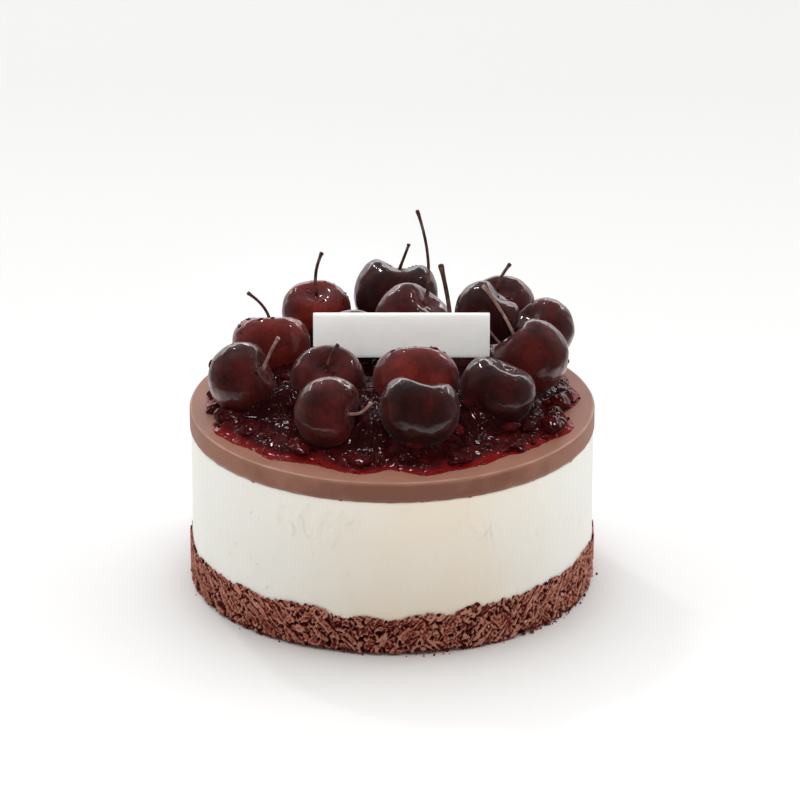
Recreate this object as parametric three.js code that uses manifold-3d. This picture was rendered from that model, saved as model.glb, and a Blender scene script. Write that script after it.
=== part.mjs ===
// A small round black forest cheesecake: a crumb base, a tall layer of set cream cheese and a disc of
// milk chocolate, topped with a dark cherry compote, a heap of whole glazed cherries and a bare plaque.
// Millimetres, +Z up, the origin in the middle of the underside, the front towards -Y.
import * as THREE from "three";
import { mergeVertices } from "three/addons/utils/BufferGeometryUtils.js";
import Module from "manifold-3d";

const wasm = await Module();
wasm.setup();

// Driving dimensions of the three layers
const CAKE_RADIUS = 65;
const BASE_HEIGHT = 12.2;
const CREAM_TOP = 52;
const CHOCOLATE_TOP = 58.8;
const RIM_ROUND = 1;
const LOWER_EDGE = { inset: 0.4, height: 0.5 };
const BASE_SIDES = 120;
const DISC_SIDES = 72;

// The crumb base: its flat seat for the cream, the depth of its crags on the side and along the upper edge,
// and the crests of that edge: an angle from the front in degrees, a height and a half width in degrees
const SEAT_RADIUS = 58;
const CREAM_SEAT_RADIUS = 54;
const CRAG_DEPTH = 1.5;
const EDGE_CRAG_DEPTH = 0.6;
const CRAG_SEED = 11;
const FOOT_INSET = 0.5;
const CREAM_INSET = 0.2;
const CREAM_SKIRT = 6;
const SEAM_GAP = 0.3;
const CRESTS = [
  [-84, 3.0, 8], [-64, 2.4, 9], [-47, 2.2, 8], [-31, 2.2, 6], [-22, 2.4, 5], [-8, 1.2, 4],
  [8, 1.4, 5], [23, 2.3, 5], [34, 2.3, 8], [50, 2.8, 10], [72, 4.2, 13],
];

// The compote: its mean reach, its thickness at the edge, the rise over its outer ring and in the middle,
// with the way that each takes, and the radius where the middle starts to rise
const COMPOTE_RADIUS = 58.2;
const COMPOTE_EDGE = 0.9;
const RING_RISE = 2.4;
const RING_WAY = 7;
const MIDDLE_RISE = 4.2;
const MIDDLE_WAY = 18;
const MIDDLE_RADIUS = 50;
const COMPOTE_SIDES = 72;
// Its tongues and bays: an angle from the front in degrees, a reach and a half width in degrees
const TONGUES = [
  [-112, 2.6, 7], [-92, 1.8, 7], [-64, 3.0, 11], [-40, 2.0, 4], [-25, -2.6, 6], [-11, 1.0, 5],
  [0, -4.4, 4.5], [11, 2.4, 4.5], [39, -1.8, 5], [68, 3.6, 7], [81, -3.6, 4], [95, 2.6, 7],
  [113, 2.8, 7], [128, -1.8, 6], [150, 1.6, 10], [176, -2.2, 8], [205, 1.8, 9], [235, -1.6, 10],
];
// Lumps of chopped fruit along the edge: angle from the front, distance from the middle, height, half width
const CHUNK_WAY = 1.6;
const CHUNKS = [
  [-88, 56, 2.2, 3.6], [-68, 55, 2.8, 3.8], [-52, 54, 1.9, 3.2], [-24, 50, 1.4, 3.4], [18, 54, 1.6, 3.0],
  [44, 51, 1.7, 3.4], [68, 57, 2.6, 3.8], [92, 57, 3.0, 4.0], [113, 58, 3.4, 3.6], [150, 54, 2.2, 3.6],
  [186, 53, 1.8, 4.0], [222, 54, 2.4, 3.6], [248, 58, 3.6, 3.8],
];

// The form of a cherry, as shares of its half width, with spreads as angles in radians: the dimple round the
// stem, the two lobes beside it, the fuller shoulder and the seam down one side
const CHERRY_DEPTH = 0.92;
const CHERRY_CROWN = 0.88;
const CROWN_POWER = 0.8;
const CHERRY_FOOT = 0.86;
const DIMPLE_DEPTH = 0.34;
const DIMPLE_SPREAD = 0.42;
const LOBE_CROWN = 0.1;
const LOBE_LIFT = 0.12;
const LOBE_ANGLE = 0.6;
const LOBE_SPREAD = 0.35;
const SHOULDER = 0.05;
const SEAM_DEPTH = 0.03;
const SEAM_SPREAD = 0.3;
const SEEN_FROM = new THREE.Vector3(0, -0.92, 0.38);
const CHERRY_SIDES = 16;
const CHERRY_ROWS = 11;
const SOCKET_SIDES = 12;
const SOCKET_ROWS = 8;
const SOCKET_GAP = 1.0;
// The cherries: the width of each, its place, the heading of its stem dimple in plan (0 is +X, 90 is +Y), how
// far the dimple looks up, in degrees, and how strongly its shoulders part into two lobes, from 0 to 1
const CHERRIES = [
  { width: 25.5, at: [-39, 13, 72.5], heading: 92, up: 60, lobed: 0.25 },
  { width: 23, at: [-25, 48, 71], heading: -85, up: 72, lobed: 0.3 },
  { width: 28, at: [1, 51.5, 74.5], heading: 68, up: 70, lobed: 0.95 },
  { width: 26, at: [6.5, 26.7, 75.7], heading: -20, up: 56, lobed: 0.7 },
  { width: 21, at: [30, 19.5, 81.5], heading: 10, up: 50, lobed: 0.8 },
  { width: 23, at: [35.5, 42.5, 74.5], heading: -106, up: 59, lobed: 0.3 },
  { width: 22, at: [49, 26, 73], heading: -151, up: 51, lobed: 0.4 },
  { width: 25, at: [45, 3, 72.7], heading: 143, up: 38, lobed: 0.8 },
  { width: 24.5, at: [33, -21, 71], heading: 18, up: 68, lobed: 0.3 },
  { width: 25.5, at: [8.5, -41, 72.5], heading: 65, up: 66, lobed: 0.5 },
  { width: 28, at: [7.5, -15, 71.4], heading: 90, up: 45, lobed: 0.05 },
  { width: 23, at: [-20.5, -36, 70.5], heading: -18, up: 3, lobed: 0.7 },
  { width: 24, at: [-20.5, -11, 71], heading: -90, up: 52, lobed: 0.3 },
  { width: 24, at: [-48, -9.5, 70.5], heading: -8, up: 28, lobed: 0.5 },
  { width: 17.5, at: [18.5, 10.5, 67.5], heading: 0, up: 85, lobed: 0.2 },
  { width: 20, at: [-12.5, 14.5, 75], heading: 90, up: 10, lobed: 0.3 },
];

// The stems: the number of the cherry, the tip measured from the middle of that cherry, how far the stem bows
// on the way, and its thickness. One more lies loose between the cherries, with a place for both its ends.
const STEM_ROWS = 5;
const STEM_SIDES = 6;
const STEM_FOOT = 1.3;
const STEM_KNOB = 1.5;
const KNOB_STARTS = 0.92;
const KNOB_FULL = 0.96;
const STEM_RISE = 3;
const STEM_GAP = 1.0;
const STEMS = [
  { cherry: 1, tip: [-7.5, 3.5, 17.8], bow: [-1, 0, 3], thickness: 1.0 },
  { cherry: 2, tip: [2, 0.5, 21], bow: [-1.5, -1, 6], thickness: 1.1 },
  { cherry: 3, tip: [4.5, 5, 17.5], bow: [1.5, -1, 2], thickness: 1.0 },
  { cherry: 4, tip: [1.5, 7.8, 36.3], bow: [0.8, 2, 14], thickness: 1.0 },
  { cherry: 6, tip: [3, -0.5, 16], bow: [-0.5, -1, 3], thickness: 1.1 },
  { cherry: 8, tip: [-16, 8, 22.3], bow: [-1, -3, 7], thickness: 1.0 },
  { cherry: 12, tip: [14, -4, 5], bow: [1, -1, 0], thickness: 1.1 },
  { cherry: 13, tip: [3.5, -5, 14.5], bow: [0, -1, 2], thickness: 1.0 },
  { cherry: 14, tip: [12, -1.5, 15.2], bow: [-0.5, 1, 5], thickness: 1.1 },
  { cherry: 15, tip: [-3, 2.5, 34], bow: [0.5, 0, 8], thickness: 1.5 },
];
const LOOSE_STEM = {
  foot: [35.5, 13.5, 73],
  bend: [32.5, 9, 78],
  tip: [28.5, 7.5, 84.5],
  thickness: 0.9,
};

// The plaque: a thin plate of white chocolate that leans back between the cherries
const PLAQUE_WIDTH = 56.5;
const PLAQUE_HEIGHT = 14.5;
const PLAQUE_THICKNESS = 2;
const PLAQUE_CORNER = 0.5;
const PLAQUE_BEVEL = 0.25;
const PLAQUE_LEAN = 8;
const PLAQUE_FOOT = [3, 1, 74];

const FULL_TURN = 2 * Math.PI;

// Numbers from 0 to 1 that come out the same on every run
function seeded(seed) {
  let state = seed >>> 0;
  return () => {
    state = (Math.imul(state, 1664525) + 1013904223) >>> 0;
    return state / 4294967296;
  };
}

// A smooth step from 0 to 1
function ease(value) {
  const t = Math.min(1, Math.max(0, value));
  return t * t * (3 - 2 * t);
}

// The shortest way round from one angle to another, in degrees
function turnBetween(a, b) {
  return ((((a - b) % 360) + 540) % 360) - 180;
}

// The sum at an angle of bumps of [angle, height, half width], with the angles in degrees
function bumps(list, angle) {
  return list.reduce((sum, [at, height, half]) => {
    const away = turnBetween(angle, at) / half;
    return sum + height * Math.exp(-(away ** 2));
  }, 0);
}

// One closed mesh: vertices in the same place are joined, and faces without area are dropped
function welded(geometry) {
  geometry.deleteAttribute("normal");
  geometry.deleteAttribute("uv");
  const joined = mergeVertices(geometry, 1e-4);
  const corners = joined.index.array;
  const kept = [];
  for (let i = 0; i < corners.length; i += 3) {
    const [a, b, c] = corners.slice(i, i + 3);
    if (a !== b && b !== c && c !== a) kept.push(a, b, c);
  }
  joined.setIndex(kept);
  return joined;
}

// A turned solid about +Z. The profile runs from the axis below, outwards and up, back to the axis above.
// The shape function moves each point, given its side, its row, its angle from the front, radius and height.
function turned(profile, sides, shape) {
  const geometry = new THREE.LatheGeometry(profile.map(([r, z]) => new THREE.Vector2(r, z)), sides);
  const position = geometry.attributes.position;
  for (let k = 0; k < position.count; k += 1) {
    const side = Math.floor(k / profile.length) % sides;
    const row = k % profile.length;
    const angle = (FULL_TURN * side) / sides;
    const [r, z] = shape(side, row, THREE.MathUtils.radToDeg(angle), ...profile[row]);
    position.setXYZ(k, r * Math.sin(angle), -r * Math.cos(angle), z);
  }
  return welded(geometry);
}

// How high the upper edge of the crumb base stands at an angle from the front: its crests repeat at the back
function baseEdge(angle) {
  return BASE_HEIGHT + bumps(CRESTS, angle) + bumps(CRESTS, angle + 180);
}

// The crumb base, with broken crags round its side and a flat seat in the middle
function crumbBase() {
  const profile = [
    [0, 0], [CAKE_RADIUS - FOOT_INSET, 0], [CAKE_RADIUS, 0.2], [CAKE_RADIUS, 0.48], [CAKE_RADIUS, 0.76],
    [CAKE_RADIUS, 1], [SEAT_RADIUS, 1], [0, 1],
  ];
  const draw = seeded(CRAG_SEED);
  const crags = Array.from({ length: BASE_SIDES * profile.length }, draw);
  return turned(profile, BASE_SIDES, (side, row, angle, radius, share) => {
    const crag = crags[side * profile.length + row];
    if (radius <= SEAT_RADIUS) return [radius, share * BASE_HEIGHT];
    const r = radius - crag * (share === 1 ? EDGE_CRAG_DEPTH : CRAG_DEPTH);
    const slope = (r - SEAT_RADIUS) / (CAKE_RADIUS - SEAT_RADIUS);
    const edge = BASE_HEIGHT + (baseEdge(angle) - BASE_HEIGHT) * slope;
    return [r, share * edge];
  });
}

// The cream layer: its lower edge follows the crests of the base, and its top is flat
function creamLayer() {
  const radius = CAKE_RADIUS - CREAM_INSET;
  const profile = [
    [0, BASE_HEIGHT], [CREAM_SEAT_RADIUS, BASE_HEIGHT], [radius, BASE_HEIGHT],
    [radius, BASE_HEIGHT + CREAM_SKIRT], [radius, CREAM_TOP], [0, CREAM_TOP],
  ];
  return turned(profile, BASE_SIDES, (side, row, angle, r, z) => {
    const onEdge = r === radius && z === BASE_HEIGHT;
    return [r, onEdge ? baseEdge(angle) + SEAM_GAP : z];
  });
}

// The chocolate disc, with a small round on its rim
function chocolateDisc() {
  const rim = [0, 30, 60, 90].map((degrees) => {
    const turn = THREE.MathUtils.degToRad(degrees);
    const inset = RIM_ROUND * (1 - Math.cos(turn));
    const drop = RIM_ROUND * (1 - Math.sin(turn));
    return [CAKE_RADIUS - inset, CHOCOLATE_TOP - drop];
  });
  const profile = [
    [0, CREAM_TOP], [CAKE_RADIUS - LOWER_EDGE.inset, CREAM_TOP], [CAKE_RADIUS, CREAM_TOP + LOWER_EDGE.height],
    ...rim, [0, CHOCOLATE_TOP],
  ];
  return turned(profile, DISC_SIDES, (side, row, angle, r, z) => [r, z]);
}

// The compote's upper surface above the chocolate
function compoteHeight(x, y, inward) {
  const ring = RING_RISE * ease(inward / RING_WAY);
  const middle = MIDDLE_RISE * ease((MIDDLE_RADIUS - Math.hypot(x, y)) / MIDDLE_WAY);
  return CHUNKS.reduce((sum, [angle, distance, height, half]) => {
    const turn = THREE.MathUtils.degToRad(angle);
    const away = Math.hypot(x - distance * Math.sin(turn), y + distance * Math.cos(turn));
    return sum + height * ease(inward / CHUNK_WAY) * Math.exp(-((away / half) ** 2));
  }, COMPOTE_EDGE + ring + middle);
}

// The compote as poured: a low mound with an uneven outline, flat underneath
function compoteMound() {
  const shares = [1, 0.985, 0.955, 0.915, 0.87, 0.8, 0.7, 0.56, 0.4, 0.2];
  const profile = [[0, 0], [1, 0], ...shares.map((share) => [share, 1]), [0, 1]];
  return turned(profile, COMPOTE_SIDES, (side, row, angle, share, top) => {
    const reach = COMPOTE_RADIUS + bumps(TONGUES, angle);
    const r = share * reach;
    if (top === 0) return [r, CHOCOLATE_TOP];
    const turn = THREE.MathUtils.degToRad(angle);
    return [r, CHOCOLATE_TOP + compoteHeight(r * Math.sin(turn), -r * Math.cos(turn), reach - r)];
  });
}

// A cherry about its own middle: a slightly flattened heart with its stem dimple on +Z and a shallow seam
// down one side. The gap makes the same form larger all over.
function cherryForm({ width, lobed }, sides, rows, gap) {
  const geometry = new THREE.SphereGeometry(1, sides, rows);
  geometry.rotateX(Math.PI / 2);
  const position = geometry.attributes.position;
  const half = width / 2;
  const point = new THREE.Vector3();
  for (let k = 0; k < position.count; k += 1) {
    point.fromBufferAttribute(position, k);
    const fromStem = Math.acos(THREE.MathUtils.clamp(point.z, -1, 1));
    const round = Math.atan2(point.x, point.y);
    const crown = (CHERRY_CROWN + LOBE_CROWN * lobed) * Math.abs(point.z) ** CROWN_POWER;
    const dimple = DIMPLE_DEPTH * Math.exp(-((fromStem / DIMPLE_SPREAD) ** 2));
    const besideStem = Math.exp(-(((fromStem - LOBE_ANGLE) / LOBE_SPREAD) ** 2));
    const lobes = -LOBE_LIFT * lobed * Math.cos(2 * round) * besideStem;
    const shoulder = 1 + SHOULDER * Math.sin(fromStem) * Math.cos(fromStem);
    const seam = SEAM_DEPTH * Math.exp(-((round / SEAM_SPREAD) ** 2)) * Math.sin(fromStem);
    const flank = half * (shoulder - seam);
    const height = point.z > 0 ? crown - dimple + lobes : point.z * CHERRY_FOOT;
    point.set(point.x * flank, point.y * flank * CHERRY_DEPTH, height * half);
    point.addScaledVector(point.clone().normalize(), gap);
    position.setXYZ(k, point.x, point.y, point.z);
  }
  return welded(geometry);
}

// The way a cherry's dimple looks
function dimpleDirection({ heading, up }) {
  const turn = THREE.MathUtils.degToRad(heading);
  const rise = THREE.MathUtils.degToRad(up);
  return new THREE.Vector3(Math.cos(turn) * Math.cos(rise), Math.sin(turn) * Math.cos(rise), Math.sin(rise));
}

// The place of a cherry: its dimple turned into its direction, its width kept across the view of the front
function cherryPlace(cherry) {
  const axis = dimpleDirection(cherry);
  const across = SEEN_FROM.clone().cross(axis).normalize();
  const behind = axis.clone().cross(across);
  return new THREE.Matrix4().makeBasis(across, behind, axis).setPosition(...cherry.at);
}

// The line of a stem: out of its cherry's dimple, bowed towards the tip
function stemLine({ cherry, tip, bow }) {
  const fruit = CHERRIES[cherry - 1];
  const axis = dimpleDirection(fruit);
  const middle = new THREE.Vector3(...fruit.at);
  const dimpleFloor = (fruit.width / 2) * (CHERRY_CROWN + LOBE_CROWN * fruit.lobed - DIMPLE_DEPTH);
  const foot = middle.clone().addScaledVector(axis, dimpleFloor + STEM_GAP);
  const bend = foot.clone().addScaledVector(axis, STEM_RISE).add(new THREE.Vector3(...bow));
  return new THREE.QuadraticBezierCurve3(foot, bend, middle.add(new THREE.Vector3(...tip)));
}

// A stem along its line: a thin turned rod, wider at its foot and with a knob on its tip
function stemForm(line, thickness) {
  const thick = thickness / 2;
  const profile = [[0, 0], [thick * STEM_FOOT, 0]];
  for (let row = 1; row <= STEM_ROWS; row += 1) profile.push([thick, (KNOB_STARTS * row) / STEM_ROWS]);
  profile.push([thick * STEM_KNOB, KNOB_FULL], [thick * STEM_KNOB, 1], [0, 1]);
  const geometry = turned(profile, STEM_SIDES, (side, row, angle, r, z) => [r, z]);
  const position = geometry.attributes.position;
  for (let k = 0; k < position.count; k += 1) {
    const along = position.getZ(k);
    const tangent = line.getTangent(along);
    const across = SEEN_FROM.clone().cross(tangent).normalize();
    const point = line.getPoint(along);
    point.addScaledVector(across, position.getX(k));
    point.addScaledVector(tangent.cross(across), position.getY(k));
    position.setXYZ(k, point.x, point.y, point.z);
  }
  return geometry;
}

// The bare plaque, standing on its lower edge
function plaqueForm() {
  const half = PLAQUE_WIDTH / 2 - PLAQUE_BEVEL;
  const low = PLAQUE_BEVEL;
  const high = PLAQUE_HEIGHT - PLAQUE_BEVEL;
  const r = PLAQUE_CORNER;
  const face = new THREE.Shape();
  face.moveTo(-half + r, low);
  face.lineTo(half - r, low);
  face.absarc(half - r, low + r, r, -Math.PI / 2, 0);
  face.absarc(half - r, high - r, r, 0, Math.PI / 2);
  face.absarc(-half + r, high - r, r, Math.PI / 2, Math.PI);
  face.absarc(-half + r, low + r, r, Math.PI, 1.5 * Math.PI);
  const geometry = new THREE.ExtrudeGeometry(face, {
    depth: PLAQUE_THICKNESS - 2 * PLAQUE_BEVEL,
    curveSegments: 3,
    bevelSize: PLAQUE_BEVEL,
    bevelThickness: PLAQUE_BEVEL,
    bevelSegments: 1,
  });
  geometry.translate(0, 0, PLAQUE_BEVEL - PLAQUE_THICKNESS);
  geometry.rotateX(Math.PI / 2);
  return welded(geometry);
}

// A closed mesh as a solid for cutting, and a solid as a mesh again
function solid(geometry) {
  const vertProperties = Float32Array.from(geometry.attributes.position.array);
  const triVerts = Uint32Array.from(geometry.index.array);
  return new wasm.Manifold(new wasm.Mesh({ numProp: 3, vertProperties, triVerts }));
}
function meshOf(body) {
  const { vertProperties, triVerts } = body.getMesh();
  const geometry = new THREE.BufferGeometry();
  geometry.setAttribute("position", new THREE.BufferAttribute(Float32Array.from(vertProperties), 3));
  geometry.setIndex(Array.from(triVerts));
  return geometry;
}

// The compote with a socket cut for each cherry that sits in it
function compoteForm() {
  let body = solid(compoteMound());
  for (const cherry of CHERRIES) {
    const socket = cherryForm(cherry, SOCKET_SIDES, SOCKET_ROWS, SOCKET_GAP);
    body = body.subtract(solid(socket.applyMatrix4(cherryPlace(cherry))));
  }
  return meshOf(body);
}

const FINISHES = {
  crumb: { color: 0x7d4a3b, roughness: 0.95, metalness: 0 },
  cream: { color: 0xe6e0d0, roughness: 0.6, metalness: 0 },
  chocolate: { color: 0x8c6051, roughness: 0.4, metalness: 0 },
  compote: { color: 0x4a1012, roughness: 0.1, metalness: 0 },
  cherry: { color: 0x3a1012, roughness: 0.12, metalness: 0 },
  stem: { color: 0x6b5046, roughness: 0.5, metalness: 0 },
  plaque: { color: 0xe4e2de, roughness: 0.4, metalness: 0 },
};

const cake = new THREE.Group();
function add(name, geometry, finish) {
  const mesh = new THREE.Mesh(geometry, new THREE.MeshStandardMaterial(FINISHES[finish]));
  mesh.name = name;
  cake.add(mesh);
  return mesh;
}

add("crumb_base", crumbBase(), "crumb");
add("cream_layer", creamLayer(), "cream");
add("chocolate_disc", chocolateDisc(), "chocolate");
add("cherry_compote", compoteForm(), "compote");
CHERRIES.forEach((cherry, n) => {
  const fruit = add(`cherry_${n + 1}`, cherryForm(cherry, CHERRY_SIDES, CHERRY_ROWS, 0), "cherry");
  fruit.applyMatrix4(cherryPlace(cherry));
});
for (const stem of STEMS) add(`stem_${stem.cherry}`, stemForm(stemLine(stem), stem.thickness), "stem");
const { foot, bend, tip, thickness } = LOOSE_STEM;
const loosePoints = [foot, bend, tip].map((point) => new THREE.Vector3(...point));
const looseLine = new THREE.QuadraticBezierCurve3(...loosePoints);
add("loose_stem", stemForm(looseLine, thickness), "stem");
const plaque = add("plaque", plaqueForm(), "plaque");
plaque.position.set(...PLAQUE_FOOT);
plaque.rotation.x = -THREE.MathUtils.degToRad(PLAQUE_LEAN);

export default cake;
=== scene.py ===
# %% [markdown]
# A black forest cheesecake, dressed in Blender.
# The cake's solids are already built at their real size, in metres. They are loaded here as a fixed
# frame, and every piece below is shaped and finished where its solid lies, so nothing has to be fitted
# afterwards.

# %% Load the frame
import math
import random

import bmesh
import bpy
import numpy as np
from mathutils import Euler, Matrix, Vector, noise


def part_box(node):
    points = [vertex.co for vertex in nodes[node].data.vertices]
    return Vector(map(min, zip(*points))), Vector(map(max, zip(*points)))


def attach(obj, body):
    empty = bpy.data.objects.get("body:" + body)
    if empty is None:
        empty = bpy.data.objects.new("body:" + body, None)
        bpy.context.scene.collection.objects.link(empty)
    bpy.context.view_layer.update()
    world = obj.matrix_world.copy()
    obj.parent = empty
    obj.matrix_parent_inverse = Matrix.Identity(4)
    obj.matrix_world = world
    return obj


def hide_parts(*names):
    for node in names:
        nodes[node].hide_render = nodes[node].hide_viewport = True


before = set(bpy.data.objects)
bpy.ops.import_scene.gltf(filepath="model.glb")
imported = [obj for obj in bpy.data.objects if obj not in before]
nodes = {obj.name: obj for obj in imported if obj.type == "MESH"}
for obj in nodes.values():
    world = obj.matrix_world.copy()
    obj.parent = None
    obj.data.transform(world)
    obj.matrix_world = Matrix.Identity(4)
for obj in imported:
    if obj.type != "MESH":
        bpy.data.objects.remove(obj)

MM = 0.001
scene = bpy.context.scene
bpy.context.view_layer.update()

# %% [markdown]
# The camera looks at the cake from a little above the table, through a long lens from far away, as
# product pictures are taken. A long lens keeps the round layers from bulging towards the viewer.

# %% The camera
AIM = Vector((2.53, 0, 59.8)) * MM
DISTANCE = 1.6
ELEVATION = math.radians(22.47)
LENS_MM = 224.3
SENSOR_MM = 36
eye = AIM + DISTANCE * Vector((0, -math.cos(ELEVATION), math.sin(ELEVATION)))
camera_data = bpy.data.cameras.new("camera")
camera_data.lens = LENS_MM
camera_data.sensor_width = SENSOR_MM
camera = bpy.data.objects.new("camera", camera_data)
camera.location = eye
camera.rotation_euler = (AIM - eye).to_track_quat("-Z", "Y").to_euler()
scene.collection.objects.link(camera)
scene.camera = camera
scene.view_settings.view_transform = "Standard"
print("camera at", [round(v, 3) for v in eye])

# %% [markdown]
# A finish is a material made of nodes. These helpers keep the recipes short: one makes a node and sets
# or links its inputs, one turns a colour into the linear values that light is worked out in, and one
# paints a shader with a row of colours along a value.

# %% Helpers for finishes
def tone(code):
    """A colour from its six hexadecimal digits, as linear red, green, blue and alpha."""
    parts = [int(code[k : k + 2], 16) / 255 for k in (0, 2, 4)]
    return (*[v / 12.92 if v <= 0.04045 else ((v + 0.055) / 1.055) ** 2.4 for v in parts], 1)


def add_node(tree, kind, inputs=None, **settings):
    """A node with its settings, and its inputs set to a value or linked to another node's output."""
    node = tree.nodes.new(kind)
    for key, value in settings.items():
        setattr(node, key, value)
    for socket, value in (inputs or {}).items():
        if isinstance(value, bpy.types.NodeSocket):
            tree.links.new(value, node.inputs[socket])
        else:
            node.inputs[socket].default_value = value
    return node


def new_finish(name, settings):
    """A new material, its node tree and its shader, with plain numbers set on the shader's own sockets."""
    material = bpy.data.materials.new(name)
    material.use_nodes = True
    tree = material.node_tree
    shader = tree.nodes["Principled BSDF"]
    for socket, value in settings.items():
        shader.inputs[socket].default_value = value
    return material, tree, shader


def paint(tree, shader, factor, stops):
    """Colours laid along a value from 0 to 1, each stop with its place and its colour."""
    row = add_node(tree, "ShaderNodeValToRGB", {"Fac": factor})
    elements = row.color_ramp.elements
    while len(elements) < len(stops):
        elements.new(1)
    for element, (place, code) in zip(elements, stops):
        element.position = place
        element.color = tone(code)
    tree.links.new(row.outputs["Color"], shader.inputs["Base Color"])


print("finish helpers ready")

# %% [markdown]
# The patterns are noise on Object coordinates, because each piece sits at the origin. A shape can also
# leave a number on its points, such as how deep a crumb lies, and a finish can read it.

# %% Helpers for patterns
def object_noise(tree, size_mm, detail=3, stretch=(1, 1, 1)):
    """Soft noise on Object coordinates, with features of about this size, stretched along the axes."""
    place = add_node(tree, "ShaderNodeTexCoord").outputs["Object"]
    if stretch != (1, 1, 1):
        squeeze = [1 / s for s in stretch]
        place = add_node(tree, "ShaderNodeMapping", {"Vector": place, "Scale": squeeze}).outputs["Vector"]
    inputs = {"Vector": place, "Scale": 1 / (size_mm * MM), "Detail": detail}
    return add_node(tree, "ShaderNodeTexNoise", inputs).outputs["Fac"]


def point_value(tree, name):
    """A number that a shape left on its points."""
    return add_node(tree, "ShaderNodeAttribute", attribute_name=name).outputs["Fac"]


def weighted(tree, value, weight, added):
    """One value times a weight, plus another value."""
    inputs = {0: value, 1: weight, 2: added}
    return add_node(tree, "ShaderNodeMath", inputs, operation="MULTIPLY_ADD").outputs["Value"]


def strings(tree, size_mm, width):
    """Thin winding crests, where a soft noise crosses its middle."""
    soft = object_noise(tree, size_mm, 1)
    off = add_node(tree, "ShaderNodeMath", {0: soft, 1: 0.5}, operation="SUBTRACT").outputs["Value"]
    off = add_node(tree, "ShaderNodeMath", {0: off}, operation="ABSOLUTE").outputs["Value"]
    inputs = {"Value": off, "From Min": 0.0, "From Max": width, "To Min": 1.0, "To Max": 0.0}
    return add_node(tree, "ShaderNodeMapRange", inputs, interpolation_type="SMOOTHSTEP").outputs["Result"]


def relief(tree, shader, height, depth_mm, strength, socket="Normal"):
    """Fine relief from a height pattern, on top of any relief that the shader already has."""
    inputs = {"Height": height, "Distance": depth_mm * MM, "Strength": strength}
    linked = shader.inputs[socket].links
    if linked:
        inputs["Normal"] = linked[0].from_socket
    bump = add_node(tree, "ShaderNodeBump", inputs)
    tree.links.new(bump.outputs["Normal"], shader.inputs[socket])


print("pattern helpers ready")

# %% [markdown]
# Matt things and wet things want different light. What is matt is lit by an even white tent, dimmer and
# a little warm on the camera's side. What is wet mirrors a darker room instead: a white wall at the back
# with a bright strip along its top, a dark ceiling and front, and a pale table below. That gives glazed
# fruit its dark body and its thin pale rim. The world's nodes choose between the two by the kind of ray.

# %% The tent and the room
TENT_SIDE = (1.0, 1.04, 1.07)
TENT_TOP = (1.87, 1.89, 1.93)
TENT_FRONT = (0.38, 0.335, 0.28)
ROOM_SHELF = (0.65, 0.61, 0.61)
ROOM_WALL = (1.3, 1.22, 1.22)
ROOM_STRIP = (6.0, 5.7, 5.7)
ROOM_CEILING = (0.2, 0.19, 0.19)
ROOM_FRONT = (0.08, 0.07, 0.065)
ROOM_TABLE = (1.7, 1.58, 1.57)
BACKDROP = (0.9, 0.9, 0.9)

world = bpy.data.worlds.new("studio")
scene.world = world
world.use_nodes = True
sky = world.node_tree
direction = add_node(sky, "ShaderNodeTexCoord").outputs["Generated"]
axes = add_node(sky, "ShaderNodeSeparateXYZ", {0: direction}).outputs


def ramp(axis, start, end):
    """A smooth step from 0 to 1 along an axis of the studio."""
    inputs = {"Value": axes[axis], "From Min": start, "From Max": end}
    return add_node(sky, "ShaderNodeMapRange", inputs, interpolation_type="SMOOTHSTEP").outputs["Result"]


def blend(factor, first, second):
    """Two colours mixed in the studio's nodes, each given as red, green and blue or as another mix."""
    colours = [c if isinstance(c, bpy.types.NodeSocket) else (*c, 1) for c in (first, second)]
    inputs = {0: factor, 6: colours[0], 7: colours[1]}
    return add_node(sky, "ShaderNodeMix", inputs, data_type="RGBA").outputs[2]


tent = blend(ramp("Z", 0.25, 0.7), TENT_SIDE, TENT_TOP)
tent = blend(ramp("Y", 0.1, -0.6), tent, TENT_FRONT)
back_wall = blend(ramp("Z", 0.33, 0.34), ROOM_WALL, ROOM_STRIP)
back_wall = blend(ramp("Z", -0.02, 0.04), ROOM_SHELF, back_wall)
back_wall = blend(ramp("Z", 0.39, 0.4), back_wall, ROOM_CEILING)
rest_of_room = blend(ramp("Y", 0.1, -0.5), ROOM_CEILING, ROOM_FRONT)
room = blend(ramp("Y", 0.7, 0.62), back_wall, rest_of_room)
room = blend(ramp("Z", -0.3, -0.62), room, ROOM_TABLE)
ray = add_node(sky, "ShaderNodeLightPath").outputs
studio = blend(ray["Is Camera Ray"], blend(ray["Is Glossy Ray"], tent, room), BACKDROP)
sky.links.new(studio, sky.nodes["Background"].inputs["Color"])
print("studio nodes:", len(sky.nodes))

# %% [markdown]
# A few lamps finish the light. Two small discs give every glazed thing a glint. Two strips light the
# jelly alone, and only its gloss: light linking names the collection that a lamp may reach, and a
# diffuse factor of zero keeps the lamp from paling the colour. A soft spot lifts the plaque.

# %% The lamps
def aimed(name, data, place, target, shown):
    """A lamp at a place, turned to its target, shown or not shown in reflections."""
    lamp = bpy.data.objects.new(name, data)
    lamp.location = place
    lamp.rotation_euler = (Vector(target) - lamp.location).to_track_quat("-Z", "Y").to_euler()
    lamp.visible_glossy = shown
    scene.collection.objects.link(lamp)
    return lamp


def area_lamp(name, shape, sizes, energy, place):
    """A flat lamp aimed at the cake, a disc or a strip with these sizes in metres."""
    light = bpy.data.lights.new(name, "AREA")
    light.shape = shape
    light.size = sizes[0]
    light.size_y = sizes[-1]
    light.energy = energy
    return aimed(name, light, place, AIM, True)


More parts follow.
